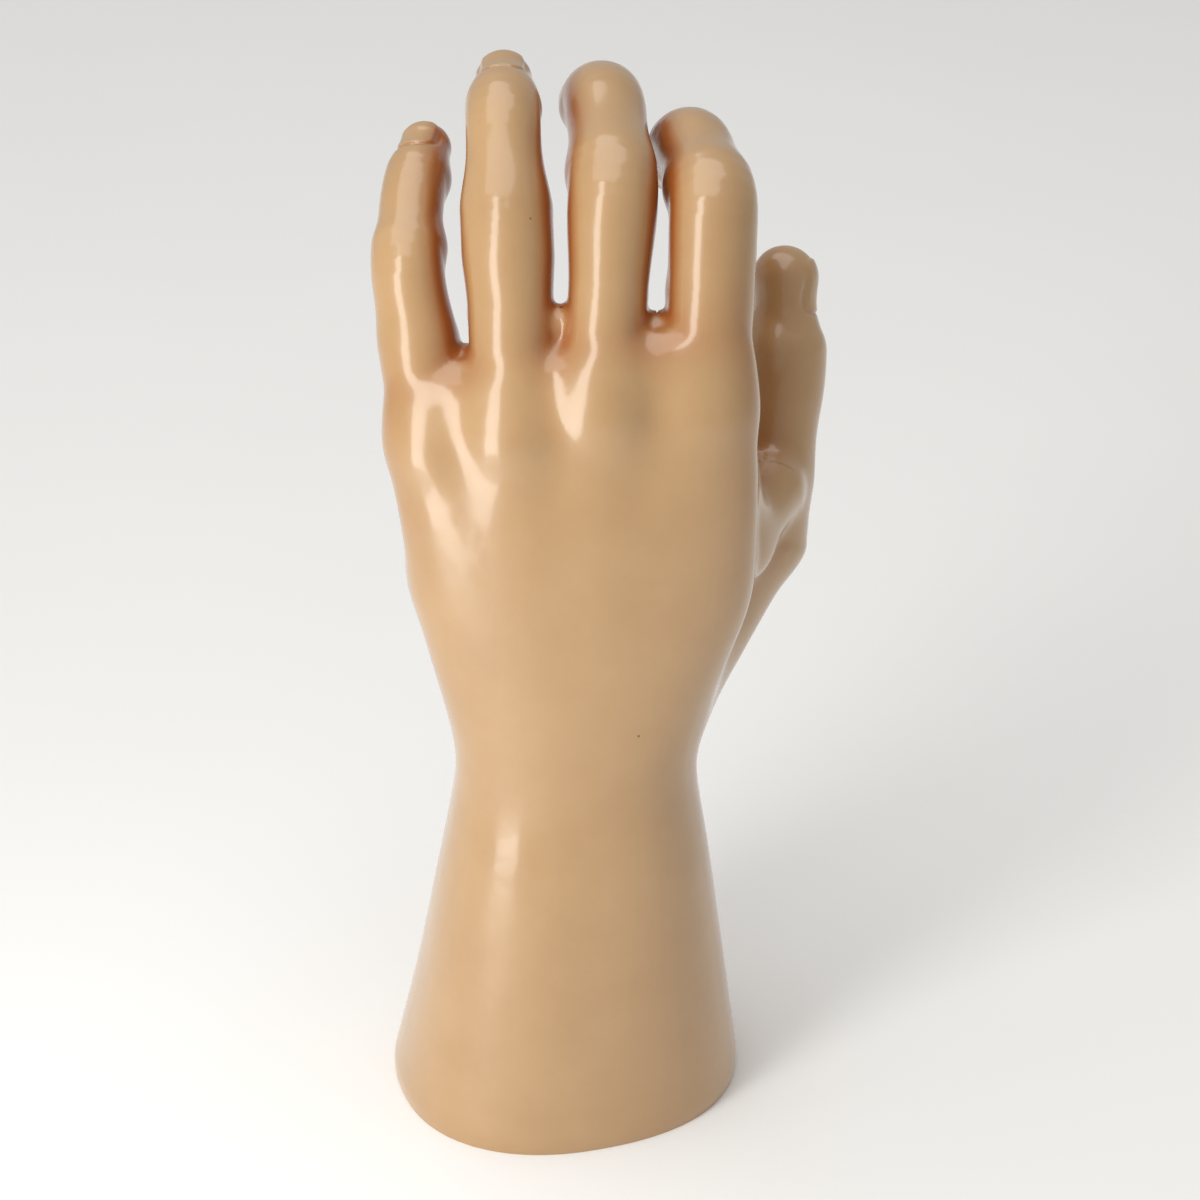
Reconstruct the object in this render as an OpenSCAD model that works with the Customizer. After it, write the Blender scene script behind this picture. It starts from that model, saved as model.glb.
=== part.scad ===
// Passive prosthetic hand for the left side: a moulded glove over an inner
// hand with friction joints and a rotating wrist stud.
// The origin is the centre of the wrist face, where the stud leaves the hand.
// +Z runs up to the fingers, -Y is the back of the hand, +X the thumb side.

/* [Cuff and palm] */
// Height of the wrist face above the rim of the cuff
cuff_length = 80; // [76:1:86]
// Width of the oval rim of the cuff
cuff_width = 88.2; // [84:0.1:92]
// Depth of the oval rim of the cuff
cuff_depth = 77; // [72:0.1:80]
// Turn of the oval rim about the forearm axis, degrees
cuff_turn = 20.4; // [0:0.1:25]
// Width of the wrist at its narrowest
wrist_width = 59.2; // [58:0.1:64]
// Depth of the wrist at its narrowest
wrist_depth = 46; // [45:0.1:50]
// Width of the palm just below the knuckles
palm_width = 86.4; // [84:0.1:90]
// Thickness of the palm just below the knuckles
palm_depth = 28; // [26:0.1:32]
// Thickness of the glove wall
glove_wall = 1.8; // [1.5:0.1:2]

/* [Index finger] */
// Centre of the base joint, from the wrist face
index_base = [34.1, 3.7, 127.7]; // [-60:0.1:130]
// Lengths between the joints, the last one to the centre of the tip
index_lengths = [27, 27.2, 17]; // [15:0.1:55]
// Radii at the base, middle joint, end joint and tip
index_radii = [10, 10.2, 9.2, 7.5]; // [6:0.1:12]
// Splay, base bend, middle bend and end bend of the relaxed finger, degrees
index_bends = [2.2, 29, 57.5, 42]; // [-15:0.1:80]
// Roll of the base joint and of the middle joint, degrees
index_rolls = [0, 12]; // [-30:1:30]

/* [Middle finger] */
// Centre of the base joint, from the wrist face
middle_base = [10.5, 2.4, 128.4]; // [-60:0.1:130]
// Lengths between the joints, the last one to the centre of the tip
middle_lengths = [30.5, 31.8, 17.5]; // [15:0.1:55]
// Radii at the base, middle joint, end joint and tip
middle_radii = [9.2, 10.4, 9.5, 8.4]; // [6:0.1:12]
// Splay, base bend, middle bend and end bend of the relaxed finger, degrees
middle_bends = [3.5, 34.9, 41.5, 39]; // [-15:0.1:80]
// Roll of the base joint and of the middle joint, degrees
middle_rolls = [0, 7]; // [-30:1:30]

/* [Ring finger] */
// Centre of the base joint, from the wrist face
ring_base = [-11.3, 2.3, 123.4]; // [-60:0.1:130]
// Lengths between the joints, the last one to the centre of the tip
ring_lengths = [24, 28, 17]; // [15:0.1:55]
// Radii at the base, middle joint, end joint and tip
ring_radii = [9.9, 10.7, 8.7, 6.7]; // [6:0.1:12]
// Splay, base bend, middle bend and end bend of the relaxed finger, degrees
ring_bends = [-3.2, 33, 10, 41]; // [-15:0.1:80]
// Roll of the base joint and of the middle joint, degrees
ring_rolls = [0, 0]; // [-30:1:30]

/* [Little finger] */
// Centre of the base joint, from the wrist face
little_base = [-32.2, 5.3, 114.4]; // [-60:0.1:130]
// Lengths between the joints, the last one to the centre of the tip
little_lengths = [23, 20.5, 15.5]; // [15:0.1:55]
// Radii at the base, middle joint, end joint and tip
little_radii = [9.5, 8.5, 7.5, 6.1]; // [6:0.1:12]
// Splay, base bend, middle bend and end bend of the relaxed finger, degrees
little_bends = [-9.7, 24.7, 34, 18]; // [-15:0.1:80]
// Roll of the base joint and of the middle joint, degrees
little_rolls = [0, -15]; // [-30:1:30]

/* [Thumb] */
// Centre of the base joint, from the wrist face
thumb_base = [48.7, 31, 64.9]; // [20:0.1:80]
// Lengths from the base to the end joint and on to the centre of the tip
thumb_lengths = [31.7, 22.4]; // [18:0.1:40]
// Radii at the base, end joint and tip
thumb_radii = [11.3, 10.2, 7.9]; // [6:0.1:13]
// Splay, base bend and end bend of the relaxed thumb, degrees
thumb_bends = [9.2, 21.3, 9]; // [-15:0.1:40]
// Roll of the base joint and of the end joint, degrees
thumb_rolls = [90, 0]; // [-10:1:100]

/* [Joints] */
// Radius of the hinge pins
pin_r = 1.5; // [1.2:0.1:1.6]
// Radius of the eyes around the hinge pins
eye_r = 3.8; // [3.6:0.1:3.8]
// Thickness of the tongue of a hinge
tongue_w = 4; // [3.6:0.1:4]
// Thickness of each cheek of a fork
cheek_w = 1.8; // [1.5:0.1:1.8]
// Radial gap of pins and spindles in their bores
running_gap = 0.05; // [0.02:0.01:0.08]
// Gap between the glove pieces at a joint
glove_gap = 0.5; // [0.4:0.1:0.6]
// Furthest bend of a middle joint past its relaxed bend, degrees
middle_travel = 20; // [15:1:22]

/* [Wrist] */
// Radius of the wrist stud over its M12 thread
stud_r = 6; // [5:1:6]
// Length of the stud below the wrist face
stud_length = 20; // [16:1:24]
// Radius of the round wrist housing
housing_r = 19.5; // [19:0.1:20]
// Height of the wrist housing
housing_h = 15; // [14:1:16]
// Radius of the flange that holds the stud in the hand
flange_r = 13; // [12:0.5:13]
// Thickness of the flange
flange_h = 3; // [2.5:0.5:3]

/* [Hidden] */
$fn = 48;

// One digit is [base, lengths, radii, bends, rolls]
index = [index_base, index_lengths, index_radii, index_bends, index_rolls];
middle = [middle_base, middle_lengths, middle_radii, middle_bends, middle_rolls];
ring = [ring_base, ring_lengths, ring_radii, ring_bends, ring_rolls];
little = [little_base, little_lengths, little_radii, little_bends, little_rolls];
thumb = [thumb_base, thumb_lengths, thumb_radii, thumb_bends, thumb_rolls];
fingers = [index, middle, ring, little];

// Colours of the materials
skin = [0.80, 0.66, 0.50];
foam = [0.90, 0.86, 0.74];
alloy = [0.72, 0.73, 0.75];
steel = [0.55, 0.56, 0.58];
bronze = [0.72, 0.53, 0.30];
rubber = [0.12, 0.12, 0.13];

// The forearm and palm as oval sections: height, centre x and y, half width,
// half depth and turn about the forearm axis
rim_z = -cuff_length;
half_palm = palm_width / 2;
half_wrist_depth = wrist_depth / 2;
sections = [
    [rim_z - 2, -0.4, 0, cuff_width * 0.503, cuff_depth * 0.504, cuff_turn],
    [rim_z + 31, 1.5, 0, cuff_width * 0.438, cuff_depth * 0.42, cuff_turn * 0.7],
    [-13, 2.8, 0, cuff_width * 0.371, cuff_depth * 0.344, cuff_turn * 0.3],
    [10, 3.1, 0, wrist_width / 2, half_wrist_depth, 0],
    [24, 3.2, -0.5, wrist_width * 0.532, half_wrist_depth - 0.7, 0],
    [38, 3.6, -1.8, half_palm * 0.815, palm_depth * 0.71, 0],
    [58, 5, -3.7, half_palm * 0.945, palm_depth * 0.62, 0],
    [85, 3.5, -5.8, half_palm, palm_depth * 0.53, -2.5],
    [106, 2.2, -4, half_palm, palm_depth * 0.52, -3.5],
    [124, 1.2, 1, half_palm * 0.99, palm_depth * 0.46, -3.5]
];
section_points = 28;
squareness = 2.2; // exponent of the ovals, 2 for an ellipse

// The palm glove ends at a plane just below the balls of the fingers
knuckle_cut_z = 118; // at the index finger
knuckle_cut_slope = 16; // degrees, down to the little finger

// The ball of the thumb, a round cone from the heel of the hand
heel_point = [23, 7, 22];
heel_r = 16;
thenar_end = [46.6, 29.6, 57];
thenar_end_r = 12.2;

ball_opening = 0.3; // height of the cut below a ball's centre, per radius
cone_fit = 0.96; // radius of a digit's cone against the ball it meets
big = 200; // longer than any part that a cutting block crosses

frame_t = 8; // thickness of the frame plate
frame_y = -7; // middle of the plate
fork_half_w = tongue_w / 2 + 0.15 + cheek_w;
fork_root = eye_r + 1; // from the hinge to the floor of a fork
stem_half = 2.6; // half the thickness of the stem under a fork
rod_r = 3;
elbow_r = rod_r + 0.4;

// Heights in the wrist unit, from the wrist face up
ring_low = 0.6;
ring_high = 3.9;
flange_low = 4;
washer_low = flange_low + flange_h + 0.05;
washer_h = 1.5;
bush_low = washer_low + washer_h + 0.05;
housing_high = ring_high + housing_h;
foot_high = housing_high + 5.05;
neck_r = 8;
bush_r = 8;
screw_circle_r = 16.2;
screw_r = 1.5;
head_r = 2.6;
head_h = 1.8;

// Frames of a digit's joints: X is the hinge axis, Z runs along the digit
module at_base(digit) {
    translate(digit[0]) rotate([0, digit[3][0], 0]) rotate([-digit[3][1], 0, 0])
        rotate([0, 0, digit[4][0]]) children();
}
module at_middle(digit, bend) {
    at_base(digit) translate([0, 0, digit[1][0]]) rotate([0, 0, digit[4][1]])
        rotate([-bend, 0, 0]) children();
}

// Points around one oval section, drawn in by the wall thickness
function rounded(c) = sign(c) * pow(abs(c), 2 / squareness);
function oval(s, inset) = [
    for (i = [0 : section_points - 1])
        let (
            angle = 360 * i / section_points,
            u = rounded(cos(angle)) * (s[3] - inset),
            v = rounded(sin(angle)) * (s[4] - inset)
        )
        [s[1] + u * cos(s[5]) - v * sin(s[5]), s[2] + u * sin(s[5]) + v * cos(s[5]), s[0]]
];
// The same sections with an end section repeated a little further out each way
function longer(list) = let (low = list[0], high = list[len(list) - 1])
    concat([[for (i = [0 : 5]) i == 0 ? low[0] - 2 : low[i]]], list,
        [[for (i = [0 : 5]) i == 0 ? high[0] + 2 : high[i]]]);
module oval_body(list, inset) {
    n = section_points;
    top = (len(list) - 1) * n;
    polyhedron(
        points = [for (s = list) each oval(s, inset)],
        faces = concat(
            [[for (i = [0 : n - 1]) i]],
            [for (k = [0 : n : top - n]) for (i = [0 : n - 1]) [k + i, k + n + i, k + n + (i + 1) % n]],
            [for (k = [0 : n : top - n]) for (i = [0 : n - 1]) [k + i, k + n + (i + 1) % n, k + (i + 1) % n]],
            [[for (i = [n - 1 : -1 : 0]) top + i]]
        )
    );
}

// A round cone along Z with a ball at each end
module bone(length, low_r, high_r) {
    sphere(low_r);
    cylinder(h = length, r1 = low_r * cone_fit, r2 = high_r * cone_fit);
    translate([0, 0, length]) sphere(high_r);
}
// The same between two points
module limb(low, high, low_r, high_r) {
    run = high - low;
    translate(low) rotate([0, acos(run[2] / norm(run)), atan2(run[1], run[0])])
        bone(norm(run), low_r, high_r);
}
// Half of all space: everything above the XY plane
module upper_half() {
    translate([-big / 2, -big / 2, 0]) cube(big);
}

module palm_glove() {
    color(skin) difference() {
        union() {
            oval_body(sections, 0);
            limb(heel_point, thenar_end, heel_r, thenar_end_r);
        }
        oval_body(longer(sections), glove_wall);
        limb(heel_point, thenar_end, heel_r - glove_wall, thenar_end_r - glove_wall);
        translate([0, 0, rim_z]) mirror([0, 0, 1]) upper_half();
        translate([index_base[0], 0, knuckle_cut_z]) rotate([0, -knuckle_cut_slope, 0])
            upper_half();
        thumb_room();
    }
}
// Room for the ball of the thumb and for its travel
module thumb_room() {
    at_base(thumb) {
        sphere(thumb[2][0] + glove_gap);
        translate([0, 0, -0.5]) cylinder(h = 60, r = thumb[2][0] + 5);
    }
}

// Two foam pads between the frame and the glove, back and front
filler_low = 29;
filler_high = 82;
filler_gap = 0.4;
module palm_filler() {
    color(foam) intersection() {
        oval_body([for (s = sections) if (s[0] > 10) s], glove_wall + filler_gap);
        union() {
            filler_block(frame_y - frame_t / 2 - filler_gap - big);
            difference() {
                filler_block(frame_y + frame_t / 2 + filler_gap);
                // Hollow behind the ball of the thumb
                translate([3, -big / 2, filler_low - 1]) cube([big, big, 50]);
            }
        }
    }
}
module filler_block(low_y) {
    translate([-big / 2, low_y, filler_low]) cube([big, big, filler_high - filler_low]);
}

// Flat plate with a fork at each knuckle and an arm out to the thumb
plate_outline = [
    [-14, 20], [16, 20], [37, 82], [37, 111], [2, 112], [-16, 106], [-29.5, 97], [-31, 80]
];
lightening_holes = [[2, 44, 8], [12, 72, 9], [-12, 74, 7]]; // x, z, radius
finger_stem = 20;
thumb_stem = 12;
arm_r = 4.5;
module palm_frame() {
    color(alloy) difference() {
        union() {
            frame_plate();
            translate([0, 0, housing_high + 0.05]) cylinder(h = 5, r = housing_r - 0.5);
            for (f = fingers) at_base(f) fork(finger_stem);
            at_base(thumb) fork(thumb_stem);
            thumb_arm();
        }
        for (f = fingers) at_base(f) pin_bore();
        at_base(thumb) pin_bore();
        screw_places(0) translate([0, 0, housing_high - 1]) cylinder(h = 8, r = screw_r + running_gap);
    }
}
module frame_plate() {
    difference() {
        translate([0, frame_y + frame_t / 2, 0]) rotate([90, 0, 0])
            linear_extrude(frame_t) polygon(plate_outline);
        for (hole = lightening_holes)
            translate([hole[0], frame_y + frame_t, hole[1]]) rotate([90, 0, 0])
                cylinder(h = frame_t * 2, r = hole[2]);
    }
}
module thumb_arm() {
    elbow = heel_point + [2, 2, 9];
    wrist_end = [15, frame_y + 1, elbow[2] + 1];
    bend = thumb[3][1];
    splay = thumb[3][0];
    along = [sin(splay) * cos(bend), sin(bend), cos(splay) * cos(bend)];
    limb(wrist_end, elbow, arm_r, arm_r);
    limb(elbow, thumb[0] - along * (thumb_stem - 1), arm_r, arm_r);
}

// Cheeks of a fork around a hinge at the origin, on a stem that points to -Z
module fork(stem) {
    for (side = [-1, 1])
        translate([side * (fork_half_w - cheek_w / 2), 0, 0]) {
            rotate([0, 90, 0]) cylinder(h = cheek_w, r = eye_r, center = true);
            translate([-cheek_w / 2, -eye_r, -fork_root - 1])
                cube([cheek_w, eye_r * 2, fork_root + 1]);
        }
    translate([-fork_half_w, -stem_half, -stem])
        cube([fork_half_w * 2, stem_half * 2, stem - fork_root]);
}
// Eye of a hinge at the origin on a flat tongue that points to +Z
module tongue() {
    rotate([0, 90, 0]) cylinder(h = tongue_w, r = eye_r, center = true);
    translate([-tongue_w / 2, -rod_r, 0]) cube([tongue_w, rod_r * 2, fork_root + 2]);
}
module pin_bore() {
    rotate([0, 90, 0]) cylinder(h = 20, r = pin_r + running_gap, center = true);
}
module hinge_pin() {
    rotate([0, 90, 0]) cylinder(h = fork_half_w * 2 + 0.6, r = pin_r, center = true);
}

module knuckle_pins() {
    color(steel) for (f = fingers) at_base(f) hinge_pin();
}
module thumb_base_pin() {
    color(steel) at_base(thumb) hinge_pin();
}

// Four places on the screw circle, half a step further round if asked
module screw_places(turn) {
    for (i = [0 : 3]) rotate([0, 0, i * 90 + turn]) translate([screw_circle_r, 0, 0]) children();
}
module cap_screw(length) {
    cylinder(h = head_h, r = head_r);
    mirror([0, 0, 1]) cylinder(h = length, r = screw_r);
}
module frame_screws() {
    color(steel) screw_places(0) translate([0, 0, foot_high + 0.05]) cap_screw(12);
}
module ring_screws() {
    color(steel) screw_places(45) translate([0, 0, ring_low + head_h]) mirror([0, 0, 1]) cap_screw(9);
}

module wrist_housing() {
    color(alloy) difference() {
        translate([0, 0, ring_high + 0.05]) cylinder(h = housing_h - 0.05, r = housing_r);
        translate([0, 0, ring_high]) cylinder(h = bush_low - ring_high, r = flange_r + 0.2);
        translate([0, 0, ring_high]) cylinder(h = housing_h + 1, r = bush_r + running_gap);
        screw_places(0) translate([0, 0, housing_high - 9]) cylinder(h = 20, r = screw_r + running_gap);
        screw_places(45) cylinder(h = 13, r = screw_r + running_gap);
    }
}
module wrist_bush() {
    color(bronze) difference() {
        translate([0, 0, bush_low]) cylinder(h = housing_high - bush_low, r = bush_r);
        cylinder(h = big, r = stud_r + running_gap);
    }
}
module friction_washer() {
    color(rubber) difference() {
        translate([0, 0, washer_low]) cylinder(h = washer_h, r = flange_r);
        cylinder(h = big, r = stud_r + 1);
    }
}
module retaining_ring() {
    color(alloy) difference() {
        translate([0, 0, ring_low]) cylinder(h = ring_high - ring_low, r = housing_r);
        cylinder(h = 20, r = neck_r + 0.2, center = true);
        screw_places(45) cylinder(h = 20, r = screw_r + running_gap, center = true);
        screw_places(45) cylinder(h = ring_low + head_h + 0.05, r = head_r + 0.15);
    }
}
// Threaded stud, neck, flange and spindle in one turned piece
module wrist_stud() {
    chamfer = 1;
    color(steel) rotate_extrude() polygon([
        [0, -stud_length], [stud_r - chamfer, -stud_length], [stud_r, chamfer - stud_length],
        [stud_r, 0], [neck_r, 0], [neck_r, flange_low], [flange_r, flange_low],
        [flange_r, flange_low + flange_h], [stud_r, flange_low + flange_h],
        [stud_r, housing_high - 0.5], [0, housing_high - 0.5]
    ]);
}

// The lower glove piece of a digit, a sleeve from its base ball to its middle joint
module proximal_glove(digit) {
    length = digit[1][0];
    low_r = digit[2][0];
    high_r = digit[2][1];
    color(skin) difference() {
        at_base(digit) {
            sphere(low_r);
            cylinder(h = length, r1 = low_r * cone_fit, r2 = high_r * cone_fit);
        }
        at_base(digit) {
            sphere(low_r - glove_wall);
            cylinder(h = length + 1, r1 = low_r * cone_fit - glove_wall, r2 = high_r * cone_fit - glove_wall);
            translate([0, 0, length]) rotate([0, 90, 0]) sphere(high_r + glove_gap);
        }
        at_base(digit) translate([0, 0, -low_r * ball_opening]) mirror([0, 0, 1]) upper_half();
        at_middle(digit, (digit[3][2] + middle_travel) / 2)
            translate([0, 0, -glove_gap / 2]) upper_half();
    }
}
// Eye at the base joint, a rod, and a fork around the middle joint
module proximal_link(digit) {
    length = digit[1][0];
    color(alloy) difference() {
        at_base(digit) {
            tongue();
            translate([0, 0, fork_root]) cylinder(h = length - fork_root * 2 - 3, r = rod_r);
            translate([0, 0, length]) rotate([0, 0, digit[4][1]]) fork(fork_root + 5);
        }
        at_base(digit) pin_bore();
        at_middle(digit, 0) pin_bore();
    }
}
module joint_pin(digit) {
    color(steel) at_middle(digit, 0) hinge_pin();
}
// The outer glove piece of a digit, hollow, with a ball around the middle joint
module distal_glove(digit) {
    radii = digit[2];
    last = len(radii) - 1;
    color(skin) difference() {
        at_middle(digit, digit[3][2]) {
            sphere(radii[1]);
            difference() {
                end_bones(digit, 0);
                rotate([(digit[3][2] + middle_travel) / 2, 0, 0])
                    translate([0, 0, glove_gap / 2]) mirror([0, 0, 1]) upper_half();
            }
        }
        at_middle(digit, digit[3][2]) end_bones(digit, glove_wall);
        at_middle(digit, 0) translate([0, 0, -radii[1] * ball_opening])
            mirror([0, 0, 1]) upper_half();
    }
}
// One or two bones past the middle joint, drawn in by the wall thickness
module end_bones(digit, inset) {
    radii = digit[2];
    bone(digit[1][1], radii[1] - inset, radii[2] - inset);
    if (len(radii) > 3)
        translate([0, 0, digit[1][1]]) rotate([-digit[3][3], 0, 0])
            bone(digit[1][2], radii[2] - inset, radii[3] - inset);
}
// Eye at the middle joint and a rod bent to follow the digit
module distal_link(digit) {
    length = digit[1][1];
    color(alloy) difference() {
        at_middle(digit, digit[3][2]) {
            tongue();
            if (len(digit[2]) > 3) {
                translate([0, 0, fork_root]) cylinder(h = length - fork_root, r = rod_r);
                translate([0, 0, length]) {
                    sphere(elbow_r);
                    rotate([-digit[3][3], 0, 0]) cylinder(h = digit[1][2], r = rod_r);
                }
            } else {
                translate([0, 0, fork_root]) cylinder(h = length - fork_root, r = rod_r);
            }
        }
        at_middle(digit, 0) pin_bore();
    }
}

module index_proximal_glove() {
    proximal_glove(index);
}
module index_proximal_link() {
    proximal_link(index);
}
module index_joint_pin() {
    joint_pin(index);
}
module index_distal_glove() {
    distal_glove(index);
}
module index_distal_link() {
    distal_link(index);
}
module middle_proximal_glove() {
    proximal_glove(middle);
}
module middle_proximal_link() {
    proximal_link(middle);
}
module middle_joint_pin() {
    joint_pin(middle);
}
module middle_distal_glove() {
    distal_glove(middle);
}
module middle_distal_link() {
    distal_link(middle);
}
module ring_proximal_glove() {
    proximal_glove(ring);
}
module ring_proximal_link() {
    proximal_link(ring);
}
module ring_joint_pin() {
    joint_pin(ring);
}
module ring_distal_glove() {
    distal_glove(ring);
}
module ring_distal_link() {
    distal_link(ring);
}
module little_proximal_glove() {
    proximal_glove(little);
}
module little_proximal_link() {
    proximal_link(little);
}
module little_joint_pin() {
    joint_pin(little);
}
module little_distal_glove() {
    distal_glove(little);
}
module little_distal_link() {
    distal_link(little);
}
module thumb_proximal_glove() {
    proximal_glove(thumb);
}
module thumb_proximal_link() {
    proximal_link(thumb);
}
module thumb_joint_pin() {
    joint_pin(thumb);
}
module thumb_distal_glove() {
    distal_glove(thumb);
}
module thumb_distal_link() {
    distal_link(thumb);
}

palm_glove();
palm_filler();
palm_frame();
frame_screws();
knuckle_pins();
thumb_base_pin();
wrist_housing();
wrist_bush();
friction_washer();
retaining_ring();
ring_screws();
wrist_stud();
index_proximal_glove();
index_proximal_link();
index_joint_pin();
index_distal_glove();
index_distal_link();
middle_proximal_glove();
middle_proximal_link();
middle_joint_pin();
middle_distal_glove();
middle_distal_link();
ring_proximal_glove();
ring_proximal_link();
ring_joint_pin();
ring_distal_glove();
ring_distal_link();
little_proximal_glove();
little_proximal_link();
little_joint_pin();
little_distal_glove();
little_distal_link();
thumb_proximal_glove();
thumb_proximal_link();
thumb_joint_pin();
thumb_distal_glove();
thumb_distal_link();
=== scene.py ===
import bmesh
import bpy
import math
import numpy as np
import openvdb
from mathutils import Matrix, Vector


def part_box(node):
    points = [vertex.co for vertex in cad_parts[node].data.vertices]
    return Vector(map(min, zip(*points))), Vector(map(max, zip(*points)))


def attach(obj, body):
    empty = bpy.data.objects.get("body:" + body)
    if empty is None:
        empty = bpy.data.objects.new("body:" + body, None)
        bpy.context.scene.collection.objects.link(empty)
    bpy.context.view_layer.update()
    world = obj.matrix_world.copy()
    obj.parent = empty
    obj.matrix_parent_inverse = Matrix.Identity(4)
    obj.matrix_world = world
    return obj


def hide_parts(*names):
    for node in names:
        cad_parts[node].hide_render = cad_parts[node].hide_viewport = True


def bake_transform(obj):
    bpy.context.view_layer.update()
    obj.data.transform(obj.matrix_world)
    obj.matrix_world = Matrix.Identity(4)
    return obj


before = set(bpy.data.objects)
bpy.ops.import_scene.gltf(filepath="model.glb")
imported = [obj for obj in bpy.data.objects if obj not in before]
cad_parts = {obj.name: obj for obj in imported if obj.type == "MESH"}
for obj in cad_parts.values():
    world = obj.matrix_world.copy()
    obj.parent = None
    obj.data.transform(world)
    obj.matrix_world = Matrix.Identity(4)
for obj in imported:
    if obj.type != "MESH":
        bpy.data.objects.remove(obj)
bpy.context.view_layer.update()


# ---------------------------------------------------------------- the shape of the hand, in millimetres
# Cross sections of forearm, wrist and palm, from the rim up: height, centre x, centre y,
# half width, half depth, and turn in degrees.
SECTIONS = (
    (-84, -0.2, 0, 44.4, 39.4, 18),
    (-49, 1.7, 0, 38.2, 32.3, 13),
    (-13, 2.8, 0, 32.5, 26.3, 6.1),
    (10, 3.1, 0, 28.5, 22.4, 0),
    (24, 3.6, -0.5, 30.4, 21.6, 0),
    (38, 4.0, -1.8, 34.2, 19.4, 0),
    (58, 5.4, -3.7, 39.8, 17, 0),
    (85, 3.9, -5.2, 41.8, 13.9, -2.5),
    (106, 2.4, -3.4, 41.8, 11.9, -3.5),
    (124, 1.2, 1.4, 42, 10.5, -3.5),
)
SQUARENESS = 2.25             # 2 would make the sections plain ovals
SECTION_ROUNDING = 6.0        # how far the corners between sections are smoothed
TRUNK_DEEPEST = 12            # inside this depth the trunk's field is level
PALM_END = (0, 3, 121)        # a point in the rounded plane that ends the palm at the webs
PALM_END_SLOPE = 9.5          # the little finger's side is lower
PALM_END_LEAN = 0.35          # the front of that plane is lower too
PALM_END_FILLET = 20

# Each digit: place of its base joint, lengths and radii of its segments, and its angles in degrees.
DIGITS = {
    "index": dict(base=(34.1, 3.7, 127.7), lengths=(27, 27.2, 17), radii=(10.0, 10.2, 9.2, 7.5),
                  waists=(0.0, 0.4), splay=2.2, bends=(29, 57.5, 42), rolls=(0, 12)),
    "middle": dict(base=(10.5, 2.4, 128.4), lengths=(30.5, 31.8, 17.5), radii=(9.2, 10.4, 9.5, 8.4),
                   waists=(0.0, 0.5), splay=3.5, bends=(34.9, 41.5, 39), rolls=(0, 7)),
    "ring": dict(base=(-11.3, 2.3, 123.4), lengths=(24, 28, 17), radii=(9.9, 10.7, 8.7, 6.7),
                 waists=(0.1, 0.3), splay=-3.2, bends=(33, 10, 41), rolls=(0, 0)),
    "little": dict(base=(-32.2, 5.3, 114.4), lengths=(23, 20.5, 15.5), radii=(9.5, 8.5, 7.5, 6.1),
                   waists=(0.1, 0.3), splay=-9.7, bends=(24.7, 34, 18), rolls=(0, -15)),
    "thumb": dict(base=(48.7, 31, 64.9), lengths=(31.7, 22.4), radii=(11.3, 10.2, 7.9),
                  waists=(0.5, 1.2), splay=9.2, bends=(21.3, 9), rolls=(90, 0)),
}
BEND_ROUNDING = 5             # how far either side of a joint the finger starts to curve
BEND_FILLET = 0.1             # fillet on the back of a bend, and the rest of it on the palm side
BEND_FILL = 5
BEND_FILL_REACH = 7
DIGIT_NEAR = 7                # nearer than this a digit's field is worked out in full
# Where the back of each finger's ridge reaches its knuckle, and the knuckle's radius.
KNUCKLES = {
    "index": ((32.4, -2.8, 108), 10.6),
    "middle": ((9.6, -6.4, 109.5), 10.2),
    "ring": ((-10.6, -5.8, 104), 10.4),
    "little": ((-29.4, -0.4, 98), 10),
}
# Where each metacarpal bone fades out near the wrist, and the radius there.
CARPUS = {
    "index": ((16, -2, 30), 12.6),
    "middle": ((8, -2.5, 30), 14),
    "ring": ((-1, -2.5, 30), 14),
    "little": ((-11, -1, 30), 12.4),
}
FINGERS = ("little", "ring", "middle", "index")
HEEL = (22, 8, 28)            # the root of the thumb's muscle
HEEL_R = 15
THENAR = (46.2, 29, 57)       # the end of the thumb's muscle
THENAR_R = 12.6
# The fleshy parts of the palm's front: start, end, radius at each, and the fillet that joins them on.
PALM_PADS = (
    (HEEL, THENAR, HEEL_R, THENAR_R, 9),
    ((16, 7, 34), (36, 16, 62), 13, 12, 10),
    ((-12, 4, 22), (-22, 3, 62), 12, 12.6, 9),           # the little finger's side
    ((-22, 3, 62), (-24, 3.5, 92), 12.6, 9, 9),
    ((-25, 3.6, 98), (-8, 2.8, 106), 8, 8, 10),          # under the knuckles
    ((-8, 2.8, 106), (12, 2.8, 110), 8, 8.2, 10),
    ((12, 2.8, 110), (32, 2.8, 107), 8.2, 8, 10),
    ((36, 2, 92), (40, 8, 66), 9.5, 9.5, 6),             # from the index finger down to the thumb
    ((40, 8, 68), (49, 24, 72), 9, 9, 8),
    ((-27, 6, 112.5), (-17, 5, 115), 5.2, 5.2, 6),       # the webs between the fingers
    ((-6, 4, 124.2), (5, 4, 125.8), 5, 5, 6),
    ((17, 4, 123.4), (28, 4, 123.4), 5, 5, 6),
)
BONE_FILLET = 10
THUMB_FILLET = 5
FINGER_FILLET = 3             # least fillet of the fingers on the palm
CLEFT_FILLET = 1.8            # fillet between two fingers, and what the web adds to it
WEB_FILLET = 6.2
WEB_LOW = 12                  # the web starts to fade this far short of the base joints
WEB_SPAN = 14
NAIL_WIDTH = 0.74             # half width and half length of a nail, in radii of the fingertip
NAIL_LENGTH = 0.8
NAIL_CORNER = 2.6             # rounding of a nail's outline
NAIL_RISE = 0.35              # how far a nail stands proud
NAIL_FOLD = 0.4               # depth of the groove round it
FAR = 22.0                    # beyond this the palm does not touch a finger's shape
RIM = -80                     # the height the hand stands on
LIP_HEIGHT = 5                # the edge at the rim turns in
LIP_TURN = 0.9


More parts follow.
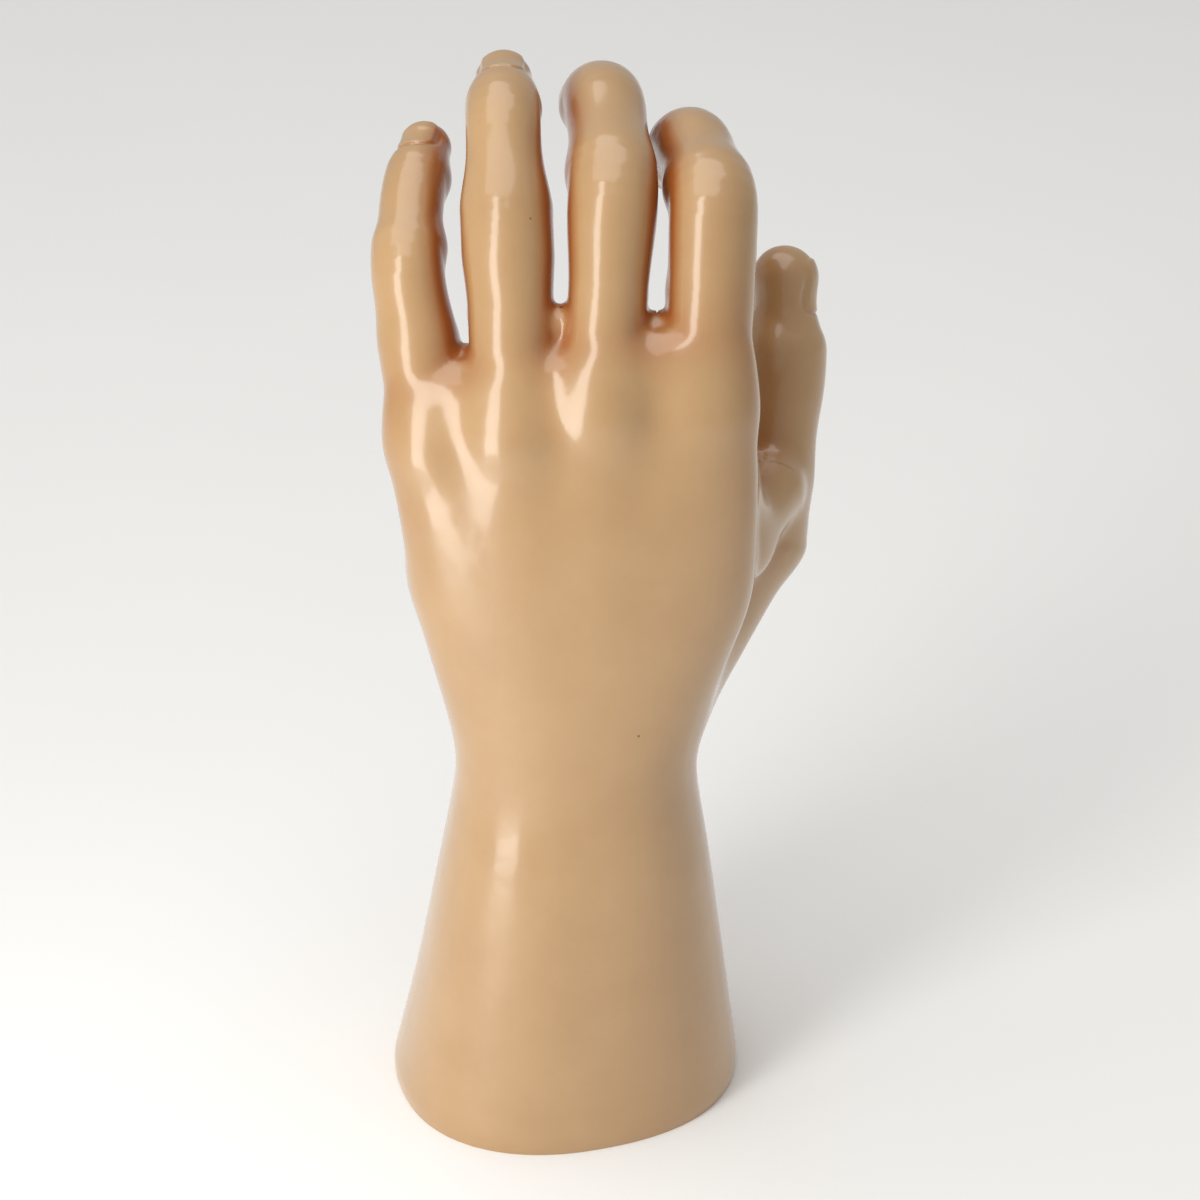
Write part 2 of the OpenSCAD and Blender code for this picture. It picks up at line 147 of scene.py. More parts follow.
def turn(axis, degrees):
    """A rotation matrix about one of the three axes."""
    c, s = np.cos(np.radians(degrees)), np.sin(np.radians(degrees))
    i, j = {"x": (1, 2), "y": (2, 0), "z": (0, 1)}[axis]
    matrix = np.eye(3)
    matrix[i, i] = matrix[j, j] = c
    matrix[i, j], matrix[j, i] = -s, s
    return matrix


def digit_frames(digit):
    """Origin and axes of each segment of a digit, then of its tip. Z runs along it and -Y is its back."""
    matrix = turn("y", digit["splay"]) @ turn("x", -digit["bends"][0]) @ turn("z", digit["rolls"][0])
    place = np.array(digit["base"], float)
    frames = [(place, matrix)]
    for number, length in enumerate(digit["lengths"]):
        place = place + matrix[:, 2] * length
        if number == 0:
            matrix = matrix @ turn("z", digit["rolls"][1])
        if number + 1 < len(digit["lengths"]):
            matrix = matrix @ turn("x", -digit["bends"][number + 1])
        frames.append((place, matrix))
    return frames


FRAMES = {name: digit_frames(digit) for name, digit in DIGITS.items()}


def ease(t):
    t = np.clip(t, 0, 1)
    return t * t * (3 - 2 * t)


def join(a, b, k):
    """Union of two fields with a fillet about k wide."""
    h = np.maximum(k - np.abs(a - b), 0) / k
    return np.minimum(a, b) - h * h * h * k / 6


def limb(points, start, end, start_r, end_r, waist=0.0):
    """Distance to a rounded rod whose radius eases between its ends, slimmer by waist half way along."""
    start = np.asarray(start, float)
    along = np.asarray(end, float) - start
    offset = points - start
    t = np.clip(offset @ (along / (along @ along)), 0, 1)
    offset -= t[:, None] * along
    distance = np.sqrt(np.einsum("ij,ij->i", offset, offset))
    if start_r == end_r and waist == 0:
        return distance - start_r
    return distance - start_r - (end_r - start_r) * t * t * (3 - 2 * t) + waist * (4 * t * (1 - t)) ** 2


def smooth_table():
    """The section values on a fine ladder of heights, with the corners of the table rounded off."""
    table = np.array(SECTIONS, float)
    heights = np.arange(-110, 160, 0.5)
    kernel = np.exp(-0.5 * (np.arange(-40, 41) * 0.5 / SECTION_ROUNDING) ** 2)
    kernel /= kernel.sum()
    columns = []
    for column in table[:, 1:].T:
        slope_low = (column[1] - column[0]) / (table[1, 0] - table[0, 0])
        values = np.interp(heights, table[:, 0], column)
        values += np.minimum(heights - table[0, 0], 0) * slope_low
        padded = np.pad(values, 40, mode="edge")
        columns.append(np.convolve(padded, kernel, "valid"))
    return heights, columns


HEIGHTS, COLUMNS = smooth_table()


def trunk(points):
    """Forearm, wrist and palm as one smooth loft, before the thumb and the knuckles."""
    x, y, width, depth, angle = (np.interp(points[:, 2], HEIGHTS, column) for column in COLUMNS)
    c, s = np.cos(np.radians(angle)), np.sin(np.radians(angle))
    dx, dy = points[:, 0] - x, points[:, 1] - y
    u, v = (c * dx + s * dy) / width, (c * dy - s * dx) / depth
    n = SQUARENESS
    au, av = np.abs(u) + 1e-9, np.abs(v) + 1e-9
    g = (au ** n + av ** n) ** (1 / n)
    gu, gv = (au / g) ** (n - 1) / width, (av / g) ** (n - 1) / depth
    side = (g - 1) / np.hypot(gu, gv)
    side = np.maximum(side, -TRUNK_DEEPEST)
    side += LIP_TURN * np.clip((RIM + LIP_HEIGHT - points[:, 2]) / LIP_HEIGHT, 0, 2) ** 2
    slope = np.tan(np.radians(PALM_END_SLOPE))
    normal = np.array([-slope, PALM_END_LEAN, 1.0])
    normal /= np.linalg.norm(normal)
    end = (points - np.array(PALM_END, float)) @ normal
    return -join(-side, -end, PALM_END_FILLET)


def web_measure(points):
    """How far past the row of base joints a point is, along the fingers."""
    bases = np.array([DIGITS[name]["base"] for name in FINGERS], float)
    low = np.interp(points[:, 0], bases[:, 0], bases[:, 2])
    deep = np.interp(points[:, 0], bases[:, 0], bases[:, 1])
    return (points[:, 1] - deep) * 0.5 + (points[:, 2] - low) * 0.866


def bend_points(before, corner, after, steps=4):
    """A rounded corner from one straight part of a finger to the next."""
    before, corner, after = (np.asarray(p, float) for p in (before, corner, after))
    start = corner + (before - corner) / np.linalg.norm(before - corner) * BEND_ROUNDING
    end = corner + (after - corner) / np.linalg.norm(after - corner) * BEND_ROUNDING
    ts = np.linspace(0, 1, steps + 1)
    return [(1 - t) ** 2 * start + 2 * t * (1 - t) * corner + t * t * end for t in ts]


def palm_side(points, before, corner, after):
    """How far on the palm side of a bend each point lies, from 0 to 1."""
    before, corner, after = (np.asarray(p, float) for p in (before, corner, after))
    inward = (after - corner) / np.linalg.norm(after - corner)
    inward -= (corner - before) / np.linalg.norm(corner - before)
    inward /= np.linalg.norm(inward)
    return ease((points - corner) @ inward / BEND_FILL_REACH)


def rounded_chain(points, corners, radii, waists):
    """A finger along its corners, with each bend rounded on the back and filled in on the palm side."""
    field = None
    begin = np.asarray(corners[0], float)
    for number in range(len(corners) - 1):
        bend = [np.asarray(corners[number + 1], float)]
        if number + 2 < len(corners):
            bend = bend_points(*corners[number:number + 3])
        part = limb(points, begin, bend[0], radii[number], radii[number + 1], waists[number])
        for near, far in zip(bend, bend[1:]):
            part = np.minimum(part, limb(points, near, far, radii[number + 1], radii[number + 1]))
        if field is None:
            field = part
        else:
            inner = palm_side(points, *corners[number - 1:number + 2])
            field = join(field, part, BEND_FILLET + BEND_FILL * inner)
        begin = bend[-1]
    return field


def digit_field(points, name):
    """One digit, with its knuckle ridge on the back of the hand."""
    digit = DIGITS[name]
    places = [place for place, axes in FRAMES[name]]
    if name in KNUCKLES:
        knuckle, knuckle_r = KNUCKLES[name]
    else:
        knuckle, knuckle_r = THENAR, THENAR_R
    corners = [knuckle] + places
    radii = (knuckle_r,) + digit["radii"]
    waists = (0,) + digit["waists"] + (0,)
    coarse = None
    for number in range(len(corners) - 1):
        part = limb(points, corners[number], corners[number + 1], radii[number], radii[number + 1])
        coarse = part if coarse is None else np.minimum(coarse, part)
    near = coarse < DIGIT_NEAR
    if near.any():
        coarse[near] = rounded_chain(points[near], corners, radii, waists) - nail_relief(points[near], name)
    return coarse


def metacarpal(points, name):
    """The ridge from a knuckle to the wrist."""
    knuckle, knuckle_r = KNUCKLES[name]
    end, end_r = CARPUS[name]
    return limb(points, knuckle, end, knuckle_r, end_r)


def nail_relief(points, name):
    """How far the nail and the folds round it stand out from a fingertip."""
    place, _ = FRAMES[name][-1]
    axes = FRAMES[name][-2][1]
    radius = DIGITS[name]["radii"][-1]
    side, back, along = ((points - place) @ axes).T
    half_width, half_length = NAIL_WIDTH * radius, NAIL_LENGTH * radius
    across = np.abs(side) - half_width + NAIL_CORNER
    length = np.abs(along + 0.2 * radius) - half_length + NAIL_CORNER
    edge = np.hypot(np.maximum(across, 0), np.maximum(length, 0)) - NAIL_CORNER
    edge += np.minimum(np.maximum(across, length), 0)
    plate = NAIL_RISE * ease(0.5 - edge / 0.7) * (0.6 + 0.8 * ease((along + half_length) / half_length / 2))
    fold = NAIL_FOLD * np.exp(-np.square((edge - 0.5) / 0.5)) * ease(0.5 - along / radius)
    return (plate - fold) * ease((-back / radius - 0.15) / 0.35)


def digit_fields(points):
    """Each digit's own field, by name."""
    return {name: digit_field(points, name) for name in DIGITS}


def palm_field(points):
    """Forearm, palm, the bones on its back and the muscles on its front."""
    field = trunk(points)
    for name in FINGERS:
        field = join(field, metacarpal(points, name), BONE_FILLET)
    for start, end, start_r, end_r, fillet in PALM_PADS:
        field = join(field, limb(points, start, end, start_r, end_r), fillet)
    return field


def hand_field(points, digits=None):
    """Distance to the skin of the whole hand, negative inside, in millimetres."""
    digits = digits or digit_fields(points)
    reach = web_measure(points)
    field = np.full(len(points), FAR)
    low = reach < FAR
    if low.any():
        field[low] = palm_field(points[low])
    field = join(field, digits["thumb"], THUMB_FILLET)
    blend = CLEFT_FILLET + WEB_FILLET * (1 - ease((reach + WEB_LOW) / WEB_SPAN))
    fingers = digits["little"]
    for name in FINGERS[1:]:
        fingers = join(fingers, digits[name], blend)
    return join(field, fingers, np.maximum(blend, FINGER_FILLET))


# ---------------------------------------------------------------- from the field to meshes
MM = 0.001
WALL = 1.6                    # thickness of the glove's skin
PALM_STEP = 1.25              # spacing of the palm's mesh
DIGIT_STEP = 0.5              # spacing of a digit's mesh
DIGIT_REACH = 3.5             # how far from a digit's own shape its skin may lie
OVERLAP = 3                   # digit and palm are each meshed this far past their parting plane, then cut
CORE_STEP = 2.0               # spacing of the foam core's mesh
CORE_GAP = 0.3                # room round the foam core
BATCH = 6000                  # blocks of the grid worked out at a time
CUT_REACH = 5                 # a cut touches only faces this near to its plane
OUTSIDE, INSIDE, CUT = 0, 1, 2
SHADE_REACHES = (2.5, 6, 12, 26)   # how far off the skin other skin is looked for, to paint shade into the hollows
SHADE_FULL = 3               # the sum over those reaches that counts as a full hollow, the darkest painted shade
# Where each digit's skin parts from the palm's, past the base joint, and where it is carried fully.
PARTING = {"index": (1, 14), "middle": (1.5, 15), "ring": (5.5, 16), "little": (4, 15), "thumb": (9.5, 20)}
MIDDLE_SPAN = 8.5             # the bend at the middle joint runs this far either side of it


def sample(field, low, high, step, block=4):
    """A field on a regular grid, exact near the surface and in coarse blocks elsewhere."""
    counts = np.ceil((high - low) / (step * block)).astype(int)
    cells = np.stack(np.meshgrid(*(np.arange(n) for n in counts), indexing="ij"), -1).reshape(-1, 3)
    centres = low + (cells * block + (block - 1) / 2) * step
    coarse = field(centres)
    grid = coarse.reshape(counts)
    for axis in range(3):
        grid = np.repeat(grid, block, axis)
    near = cells[np.abs(coarse) < block * step * 1.8 + WALL]
    inner = np.stack(np.meshgrid(*[np.arange(block)] * 3, indexing="ij"), -1).reshape(-1, 3)
    for start in range(0, len(near), BATCH):
        index = (near[start:start + BATCH, None, :] * block + inner[None]).reshape(-1, 3)
        grid[index[:, 0], index[:, 1], index[:, 2]] = field(low + index * step)
    return grid.astype(np.float32)


def slopes(field, points, width=0.12):
    """The field's gradient at each point."""
    result = np.empty_like(points)
    for axis in range(3):
        shift = np.zeros(3)
        shift[axis] = width
        result[:, axis] = (field(points + shift) - field(points - shift)) / (2 * width)
    return result


def settle(field, points, level, step):
    """Moves points onto the surface at that level."""
    slope = slopes(field, points)
    size = np.maximum((slope * slope).sum(1), 0.05)
    for _ in range(2):
        move = np.clip((field(points) - level) / size, -step, step)
        points = points - move[:, None] * slope
    return points


def largest(count, quads):
    """The quads of the biggest connected sheet."""
    label = np.arange(count)
    while True:
        lowest = label[quads].min(1)
        before = label.copy()
        np.minimum.at(label, quads.ravel(), np.repeat(lowest, 4))
        label = label[label]
        if (label == before).all():
            break
    return quads[label[quads[:, 0]] == np.bincount(label[quads[:, 0]]).argmax()]


def surface(grid, field, low, step, level):
    """Vertices and quads of one level of a sampled field, wound to face away from the inside."""
    volume = openvdb.FloatGrid(float(grid.max()))
    volume.copyFromArray(np.ascontiguousarray(grid))
    points, quads = volume.convertToQuads(level)
    quads = largest(len(points), quads.astype(np.int64))
    used, quads = np.unique(quads, return_inverse=True)
    quads = quads.reshape(-1, 4)
    points = settle(field, low + points[used].astype(float) * step, level, step)
    some = quads[::max(1, len(quads) // 300)]
    a, b, c = (points[some[:, i]] for i in (0, 1, 2))
    if (np.cross(b - a, c - a) * slopes(field, (a + c) / 2)).sum() < 0:
        quads = quads[:, ::-1]
    return points, quads


def gather(sheets):
    """One bmesh of several sheets, each given as points, quads and its side of the skin."""
    points = np.concatenate([sheet[0] for sheet in sheets])
    starts = np.cumsum([0] + [len(sheet[0]) for sheet in sheets])
    quads = np.concatenate([sheet[1] + start for sheet, start in zip(sheets, starts)])
    parts = np.concatenate([np.full(len(sheet[1]), sheet[2]) for sheet in sheets])
    data = bpy.data.meshes.new("sheets")
    data.from_pydata(points.tolist(), [], quads.tolist())
    data.attributes.new("part", "INT", "FACE").data.foreach_set("value", parts.astype(np.int32))
    mesh = bmesh.new()
    mesh.from_mesh(data)
    bpy.data.meshes.remove(data)
    return mesh


def shell(field, low, high, step):
    """A skin of even thickness as a bmesh: its outside at zero and its inside a wall deeper."""
    low, high = np.array(low, float), np.array(high, float)
    grid = sample(field, low, high, step)
    outer = surface(grid, field, low, step, 0.0)
    points, quads = surface(grid, field, low, step, -WALL)
    return gather([outer + (OUTSIDE,), (points, quads[:, ::-1], INSIDE)])


def faces_near(mesh, test):
    """The faces whose centres pass a test on an array of points."""
    mesh.faces.ensure_lookup_table()
    centres = np.array([face.calc_center_median() for face in mesh.faces])
    return [mesh.faces[i] for i in np.flatnonzero(test(centres))]


def slice_off(mesh, place, normal, near=None):
    """Cuts along a plane, deletes what lies past it and closes the wall of the skin there."""
    place, normal = np.asarray(place, float), np.asarray(normal, float)
    mark = mesh.faces.layers.int["part"]
    close = near or (lambda centres: np.ones(len(centres), bool))
    faces = faces_near(mesh, lambda c: close(c) & (np.abs((c - place) @ normal) < CUT_REACH))
    geom = set(faces)
    for face in faces:
        geom.update(face.verts)
        geom.update(face.edges)
    result = bmesh.ops.bisect_plane(mesh, geom=list(geom), dist=1e-5, plane_co=place, plane_no=normal)
    edges = [item for item in result["geom_cut"] if isinstance(item, bmesh.types.BMEdge)]
    past = faces_near(mesh, lambda c: close(c) & ((c - place) @ normal > 1e-4))
    bmesh.ops.delete(mesh, geom=past, context="FACES")
    edges = [edge for edge in edges if edge.is_valid and len(edge.link_faces) == 1]
    fill = bmesh.ops.triangle_fill(mesh, use_beauty=True, use_dissolve=False, edges=edges, normal=normal)
    for face in fill["geom"]:
        if isinstance(face, bmesh.types.BMFace):
            face[mark] = CUT
            face.normal_update()
            if face.normal.dot(Vector(normal)) < 0:
                face.normal_flip()
    loose = [vert for vert in mesh.verts if not vert.link_faces]
    bmesh.ops.delete(mesh, geom=loose, context="VERTS")


def hollowness(points, normals):
    """How far each spot of the skin lies in a recess, from 0 to 1: the mask of the painted shade in the
    hollows.
    """
    total = np.zeros(len(points))
    for reach in SHADE_REACHES:
        total += np.clip(1 - hand_field(points + normals * reach) / reach, 0, 1)
    return np.clip(total / SHADE_FULL, 0, 1)


def skin_object(name, mesh, material):
    """A finished skin piece, shaded by the field's own slope so that no seam shows."""
    data = bpy.data.meshes.new(name)
    mesh.normal_update()
    mesh.to_mesh(data)
    mesh.free()
    points = np.empty(len(data.vertices) * 3)
    data.vertices.foreach_get("co", points)
    points = points.reshape(-1, 3)
    slope = slopes(hand_field, points)
    slope /= np.linalg.norm(slope, axis=1, keepdims=True) + 1e-9
    # Painted shade: how far each spot lies in a hollow is stored on the skin, and the material darkens the
    # hollows by it.
    hollow = hollowness(points, slope)
    data.attributes.new("hollow", "FLOAT", "POINT").data.foreach_set("value", hollow.astype(np.float32))
    part = np.empty(len(data.polygons), dtype=np.int32)
    data.attributes["part"].data.foreach_get("value", part)
    sizes = np.empty(len(data.polygons), dtype=np.int32)
    data.polygons.foreach_get("loop_total", sizes)
    flat = np.empty(len(data.polygons) * 3)
    data.polygons.foreach_get("normal", flat)
    corner_part = np.repeat(part, sizes)
    corner_flat = np.repeat(flat.reshape(-1, 3), sizes, axis=0)
    corner_vertex = np.empty(len(data.loops), dtype=np.int32)
    data.loops.foreach_get("vertex_index", corner_vertex)
    normals = slope[corner_vertex]
    normals[corner_part == INSIDE] *= -1
    normals[corner_part == CUT] = corner_flat[corner_part == CUT]
    data.attributes.remove(data.attributes["part"])
    data.shade_smooth()
    data.normals_split_custom_set(normals)
    data.vertices.foreach_set("co", (points * MM).ravel())
    data.materials.append(material)
    piece = bpy.data.objects.new(name, data)
    bpy.context.scene.collection.objects.link(piece)
    return piece


# ---------------------------------------------------------------- the glove, cut into pieces
def nearest_share(fields, name):
    """Below zero where this digit is the nearest and close by."""
    others = None
    for other, value in fields.items():
        if other != name:
            others = value if others is None else np.minimum(others, value)
    return np.maximum((fields[name] - others) / 2, fields[name] - DIGIT_REACH)


def parting(name):
    """The point and direction of the plane where a digit's skin parts from the palm's."""
    place, axes = FRAMES[name][0]
    return place + axes[:, 2] * PARTING[name][0], axes[:, 2]


def past_parting(points, name, margin):
    """Below zero further along a digit than its parting plane, moved on by the margin."""
    place, along = parting(name)
    return margin - (points - place) @ along


def lone_digit(points, name):
    """The skin of one digit, from just under its parting plane to the tip."""
    digits = digit_fields(points)
    share = nearest_share(digits, name)
    return np.maximum(hand_field(points, digits), np.maximum(share, past_parting(points, name, -OVERLAP)))


def lone_palm(points):
    """The skin of palm and cuff, with the digits taken off a little past their parting planes."""
    digits = digit_fields(points)
    field = hand_field(points, digits)
    for name in DIGITS:
        digit = np.maximum(nearest_share(digits, name), past_parting(points, name, OVERLAP))
        field = np.maximum(field, -digit)
    return field


def digit_mesh(name):
    """The whole skin of one digit, with room for its flesh round the line of its joints."""
    places = np.array([place for place, axes in FRAMES[name]])
    room = 15
    return shell(lambda p: lone_digit(p, name), places.min(0) - room, places.max(0) + room, DIGIT_STEP)


def middle_split(name):
    """The plane half way along the first segment, where the two skin pieces of a digit meet."""
    place, axes = FRAMES[name][0]
    length = DIGITS[name]["lengths"][0]
    first = PARTING[name][1]
    return place + axes[:, 2] * (first + length - MIDDLE_SPAN) / 2, axes[:, 2]


def digit_pieces(name, material):
    """Both skin pieces of one digit, parted from the palm and cut apart along its first segment."""
    place, along = parting(name)
    split, _ = middle_split(name)
    whole = digit_mesh(name)
    root = whole.copy()
    slice_off(root, place, -along)
    slice_off(root, split, along)
    root = skin_object(name + "_root_skin", root, material)
    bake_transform(root)
    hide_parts(name + "_proximal_glove")
    slice_off(whole, split, -along)
    tip = skin_object(name + "_tip_skin", whole, material)
    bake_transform(tip)
    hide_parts(name + "_distal_glove")


def palm_piece(material):
    """Palm, wrist and cuff in one skin, open at the rim."""
    low, high = np.array((-52.0, -47.0, RIM - 6.0)), np.array((70.0, 52.0, 142.0))
    mesh = shell(lone_palm, low, high, PALM_STEP)
    for name in DIGITS:
        place, along = parting(name)

        def near(centres, name=name, place=place, along=along):
            ahead = (centres - place) @ along
            chosen = (ahead > -OVERLAP - 1) & (ahead < 2 * OVERLAP)
            share = nearest_share(digit_fields(centres[chosen]), name)
            chosen[chosen] = share < 0.6
            return chosen
        slice_off(mesh, place, along, near)
    slice_off(mesh, (0, 0, RIM), (0, 0, -1))
    piece = skin_object("palm_skin", mesh, material)
    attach(piece, "hand")
    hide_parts("palm_glove")


def core_field(points):
    """The foam that fills the palm, clear of the skin, the wrist housing and the moving links."""
    field = lone_palm(points) + WALL + CORE_GAP
    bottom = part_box("palm_filler")[0][2] / MM
    field = np.maximum(field, bottom - points[:, 2])
    housing_low, housing_high = (np.array(corner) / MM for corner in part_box("wrist_housing"))
    radius = (housing_high[0] - housing_low[0]) / 2 + CORE_GAP
    bore = np.maximum(np.hypot(points[:, 0], points[:, 1]) - radius, points[:, 2] - housing_high[2])
    field = np.maximum(field, -bore)
    for name in DIGITS:
        place, axes = FRAMES[name][0]
        moving = limb(points, place - axes[:, 2] * 4, place + axes[:, 2] * 40, 9.5, 12)
        field = np.maximum(field, -moving)
    return field


def core_piece(material):
    """The foam core as one closed piece that rides in the palm."""
    low, high = np.array((-50.0, -45.0, -30.0)), np.array((66.0, 50.0, 138.0))
    grid = sample(core_field, low, high, CORE_STEP)
    points, quads = surface(grid, core_field, low, CORE_STEP, 0.0)
    data = bpy.data.meshes.new("palm_core")
    data.from_pydata((points * MM).tolist(), [], quads.tolist())
    data.shade_smooth()
    data.materials.append(material)
    piece = bpy.data.objects.new("palm_core", data)
    bpy.context.scene.collection.objects.link(piece)
    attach(piece, "hand")
    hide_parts("palm_filler")


# ---------------------------------------------------------------- materials
class Nodes:
    """A small helper that builds one material's node tree."""

    def __init__(self, name):
        self.material = bpy.data.materials.new(name)
        self.material.use_nodes = True
        self.tree = self.material.node_tree
        self.shader = self.tree.nodes["Principled BSDF"]
        self.place = self.add("ShaderNodeTexCoord").outputs["Object"]

    def add(self, kind, settings=(), **inputs):
        node = self.tree.nodes.new(kind)
        for key, value in dict(settings).items():
            setattr(node, key, value)
        for key, value in inputs.items():
            self.feed(node.inputs[key.replace("_", " ")], value)
        return node

    def feed(self, socket, value):
        if isinstance(value, bpy.types.NodeSocket):
            self.tree.links.new(value, socket)
        else:
            socket.default_value = value

    def noise(self, scale, detail=4.0, roughness=0.5, place=None):
        node = self.add("ShaderNodeTexNoise", Scale=scale, Detail=detail, Roughness=roughness)
        self.feed(node.inputs["Vector"], place or self.place)
        return node.outputs["Fac"]

    def ramp(self, value, low, high, low_to=0.0, high_to=1.0):
        node = self.add("ShaderNodeMapRange", {"clamp": True}, Value=value)
        for key, amount in (("From Min", low), ("From Max", high), ("To Min", low_to), ("To Max", high_to)):
            self.feed(node.inputs[key], amount)
        return node.outputs["Result"]

    def mix(self, factor, first, second):
        node = self.add("ShaderNodeMix", {"data_type": "RGBA"})
        self.feed(node.inputs[0], factor)
        self.feed(node.inputs[6], first)
        self.feed(node.inputs[7], second)
        return node.outputs[2]

    def bump(self, height, distance, strength=1.0, under=None):
        node = self.add("ShaderNodeBump", Height=height, Distance=distance, Strength=strength)
        if under is not None:
            self.feed(node.inputs["Normal"], under)
        return node.outputs["Normal"]

    def set(self, **inputs):
        for key, value in inputs.items():
            self.feed(self.shader.inputs[key.replace("_", " ")], value)


def rgb(red, green, blue):
    """A colour given as on screen, turned to the linear values nodes use."""
    def linear(value):
        value /= 255
        return value / 12.92 if value <= 0.04045 else ((value + 0.055) / 1.055) ** 2.4
    return (linear(red), linear(green), linear(blue), 1.0)


def glove_material():
    """Glossy moulded skin: even beige, faintly mottled, with a few dark specks, and painted shade that
    turns the hollows a darker, warmer brown.
    """
    n = Nodes("glove_vinyl")
    mottle = n.noise(38, 5, 0.6)
    pale, warm = rgb(188, 150, 105), rgb(181, 142, 97)
    colour = n.mix(n.ramp(mottle, 0.35, 0.7), pale, warm)
    # Painted shade: the hollows are mixed towards a dark warm brown by how deep they lie.
    hollow = n.add("ShaderNodeAttribute", {"attribute_name": "hollow"}).outputs["Fac"]
    colour = n.mix(n.ramp(hollow, 0.1, 0.85), colour, rgb(160, 92, 42))
    speck = n.add("ShaderNodeTexVoronoi", Scale=60.0)
    n.feed(speck.inputs["Vector"], n.place)
    spot = n.ramp(speck.outputs["Distance"], 0.016, 0.024, 0.8, 0.0)
    colour = n.mix(spot, colour, rgb(92, 62, 40))
    ripple = n.bump(n.noise(110, 2, 0.4), 0.0004, 0.35)
    grain = n.bump(n.noise(900, 2, 0.5), 0.00005, 0.3, ripple)
    n.set(Base_Color=colour, Normal=grain, Coat_Normal=ripple)
    n.set(Roughness=n.ramp(n.noise(70, 3), 0.3, 0.7, 0.30, 0.38), IOR=1.5)
    n.set(Coat_Weight=0.9, Coat_Roughness=0.13, Coat_IOR=1.5)
    return n.material


def metal_material(name, colour, dark, roughness, streak=(1.0, 1.0, 14.0)):
    """Turned or milled metal with fine lines, uneven polish and slightly dulled patches."""
    n = Nodes(name)
    stretched = n.add("ShaderNodeMapping", Scale=streak)
    n.feed(stretched.inputs["Vector"], n.place)
    lines = n.noise(700, 3, 0.6, stretched.outputs["Vector"])
    patches = n.noise(120, 4)
    n.set(Base_Color=n.mix(n.ramp(patches, 0.4, 0.75), colour, dark), Metallic=1.0)
    n.set(Roughness=n.ramp(lines, 0.3, 0.7, roughness - 0.07, roughness + 0.1))
    n.set(Normal=n.bump(lines, 0.00003, 0.5))
    return n.material


def rubber_material():
    """Dull black rubber with a fine grain."""
    n = Nodes("washer_rubber")
    grain = n.noise(1200, 3)
    n.set(Base_Color=n.mix(grain, rgb(28, 28, 30), rgb(52, 51, 50)), Roughness=0.72)
    n.set(Normal=n.bump(grain, 0.00006, 0.6))
    return n.material


def foam_material():
    """Fine-celled cast foam, with painted shade in the pits of its cells."""
    n = Nodes("filler_foam")
    cells = n.add("ShaderNodeTexVoronoi", Scale=700.0)
    n.feed(cells.inputs["Vector"], n.place)
    # Painted shade: each cell is darker towards its pit, from the same map that dents it in the bump.
    pit_dent_and_shade = n.ramp(cells.outputs["Distance"], 0.0, 0.6)
    n.set(Base_Color=n.mix(pit_dent_and_shade, rgb(176, 150, 112), rgb(226, 208, 172)), Roughness=0.9)
    n.set(Normal=n.bump(pit_dent_and_shade, 0.0003, 0.6))
    return n.material


def dress_frame():
    """Gives the metal, bronze and rubber parts inside the glove their materials."""
    alloy = metal_material("frame_alloy", rgb(202, 204, 206), rgb(170, 172, 176), 0.32)
    steel = metal_material("pin_steel", rgb(186, 188, 190), rgb(138, 140, 144), 0.24)
    bronze = metal_material("bush_bronze", rgb(196, 148, 84), rgb(150, 106, 58), 0.3)
    rubber = rubber_material()
    by_ending = {"pin": steel, "pins": steel, "screws": steel, "stud": steel}
    by_ending |= {"bush": bronze, "washer": rubber}
    for name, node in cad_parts.items():
        chosen = by_ending.get(name.split("_")[-1], alloy)
        for slot in node.material_slots:
            slot.material = chosen


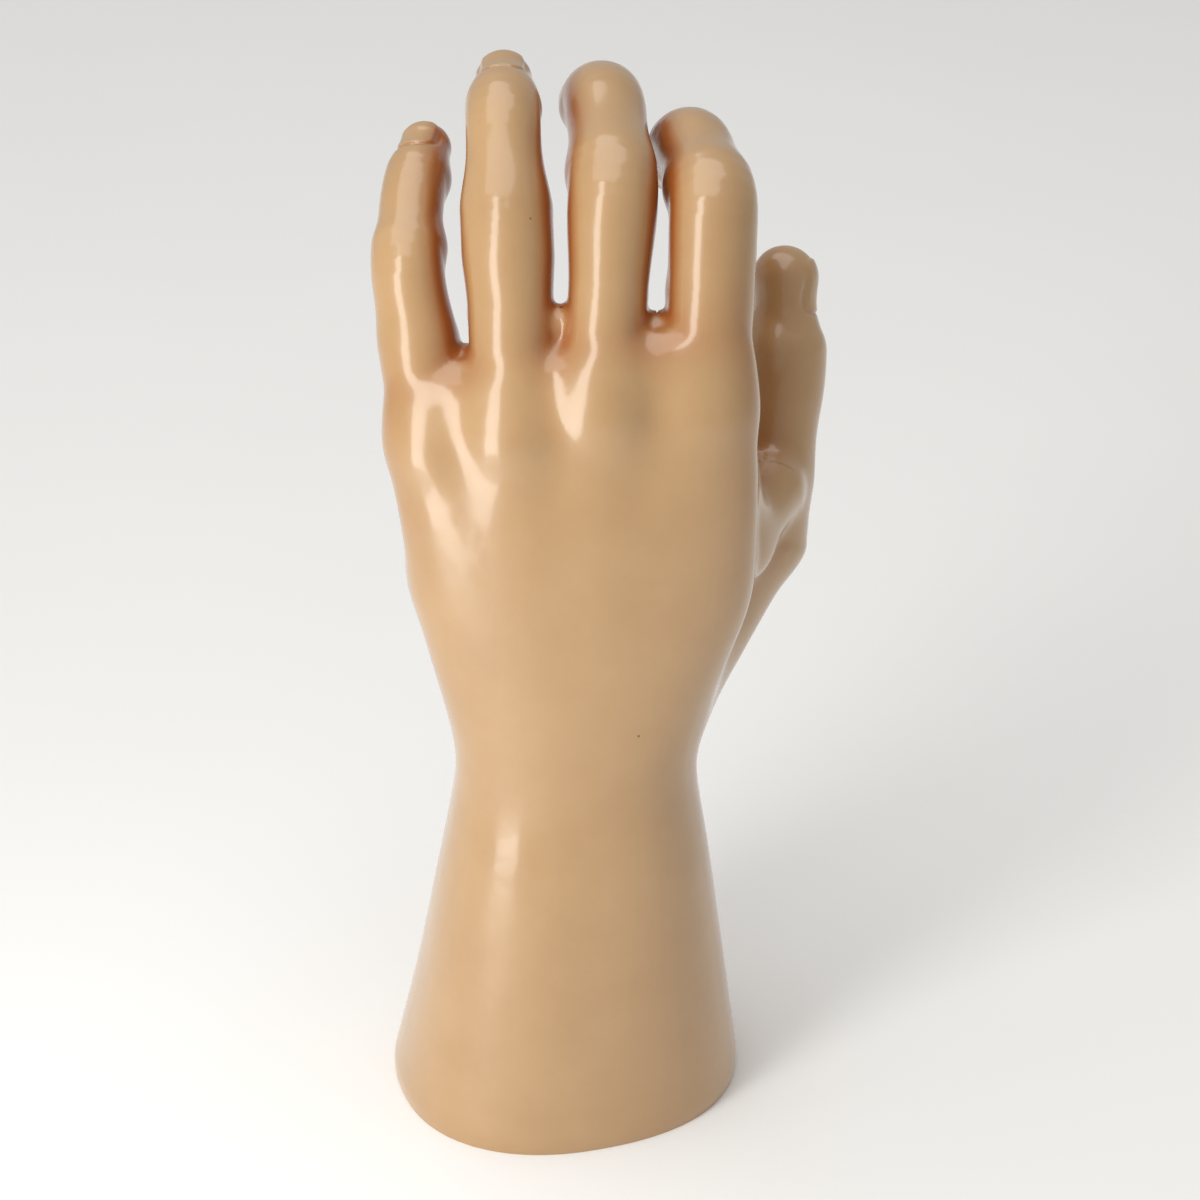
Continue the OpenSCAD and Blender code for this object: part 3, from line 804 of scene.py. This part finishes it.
# ---------------------------------------------------------------- studio
def area_light(name, place, target, width, height, power, colour=(1, 1, 1)):
    """A rectangular soft light at a place, turned to face the target."""
    data = bpy.data.lights.new(name, "AREA")
    data.shape = "RECTANGLE"
    data.size, data.size_y = width, height
    data.energy = power
    data.color = colour
    light = bpy.data.objects.new(name, data)
    light.location = place
    light.rotation_euler = (Vector(target) - Vector(place)).to_track_quat("-Z", "Y").to_euler()
    bpy.context.scene.collection.objects.link(light)


def pale_floor(height):
    """A large sheet of white paper under the hand."""
    bpy.ops.mesh.primitive_plane_add(size=8, location=(0, 0, height))
    floor = bpy.context.object
    floor.name = "floor"
    n = Nodes("floor_paper")
    n.set(Base_Color=n.mix(n.noise(9, 3), rgb(250, 250, 249), rgb(254, 254, 253)), Roughness=0.85)
    floor.data.materials.append(n.material)


def soft_lights(floor_z):
    """A bright surround, a tall soft window at the left and a wide soft ceiling."""
    world = bpy.data.worlds.new("studio")
    world.use_nodes = True
    world.node_tree.nodes["Background"].inputs["Color"].default_value = (1.0, 0.99, 0.97, 1)
    world.node_tree.nodes["Background"].inputs["Strength"].default_value = 0.42
    bpy.context.scene.world = world
    width, height = 0.12, 0.72
    middle = floor_z + 0.005 + height / 2
    area_light("window", (-0.23, -0.25, middle), (0, 0, middle), width, height, 1.5, (1.0, 0.985, 0.95))
    area_light("ceiling", (-0.2, 0.1, 1.3), (0, 0, 0.05), 1.4, 1.4, 9.0)


def camera_behind():
    """A long lens that looks down on the back of the hand."""
    data = bpy.data.cameras.new("camera")
    data.lens = 120.24
    data.sensor_width = 36
    camera = bpy.data.objects.new("camera", data)
    distance, elevation = 0.95, math.radians(30)
    target = Vector((0.0089, 0, 0.0548))
    camera.location = target + distance * Vector((0, -math.cos(elevation), math.sin(elevation)))
    camera.rotation_euler = (math.pi / 2 - elevation, 0, 0)
    bpy.context.scene.collection.objects.link(camera)
    bpy.context.scene.camera = camera


glove = glove_material()
dress_frame()
palm_piece(glove)
core_piece(foam_material())
for digit_name in DIGITS:
    digit_pieces(digit_name, glove)
bpy.context.scene.view_settings.view_transform = "Standard"
pale_floor(RIM * MM)
soft_lights(RIM * MM)
camera_behind()
